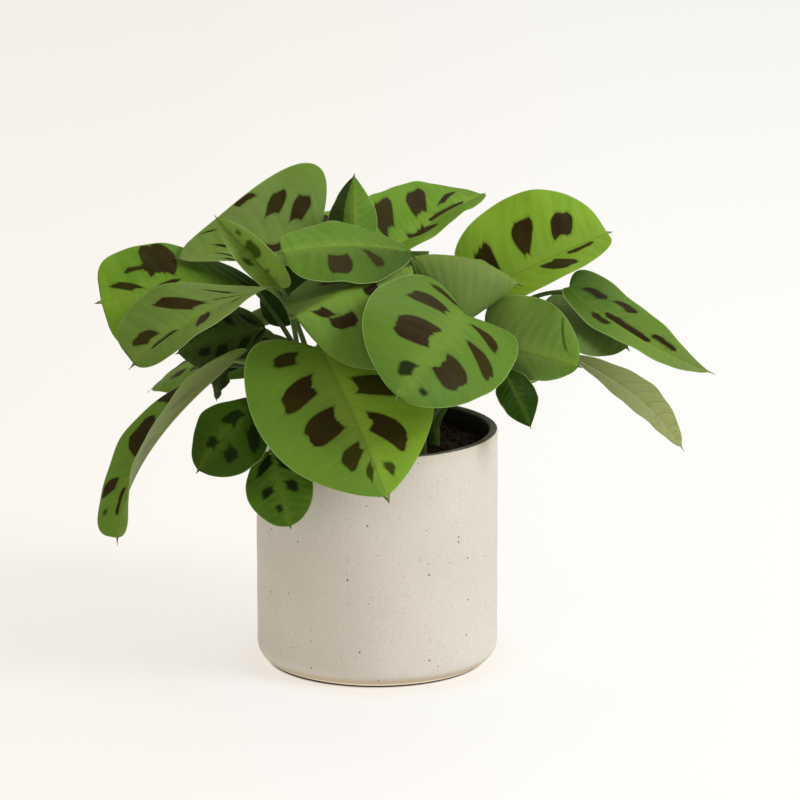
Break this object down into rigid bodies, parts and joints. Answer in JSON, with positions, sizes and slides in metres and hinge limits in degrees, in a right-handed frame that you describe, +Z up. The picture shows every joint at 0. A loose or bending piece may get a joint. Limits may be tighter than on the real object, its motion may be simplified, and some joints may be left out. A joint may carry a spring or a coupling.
{
  "type": "potted plant",
  "caption": "Prayer plant with broad blotched leaves on arching stalks, growing in soil in a straight round stoneware pot.",
  "frame": {"origin": "middle of the pot's flat base", "axes": "+Z up along the pot's axis, front towards -Y, +X to the viewer's right"},
  "size_m": [0.3321, 0.2606, 0.266],
  "materials": {
    "pot": "matt speckled glaze, dark rim and inside",
    "soil": "rough dark potting mix",
    "leaf": "satin green leaf with dark brown blotches"
  },
  "bodies": {
    "root": {"pot": "pot", "soil": "soil", "shoot_front": "leaf", "shoot_front_right": "leaf", "shoot_centre": "leaf", "shoot_left": "leaf", "shoot_upper_left": "leaf", "shoot_top": "leaf", "shoot_right": "leaf", "shoot_back_right": "leaf", "shoot_back": "leaf", "shoot_back_left": "leaf"}
  },
  "joints": []
}
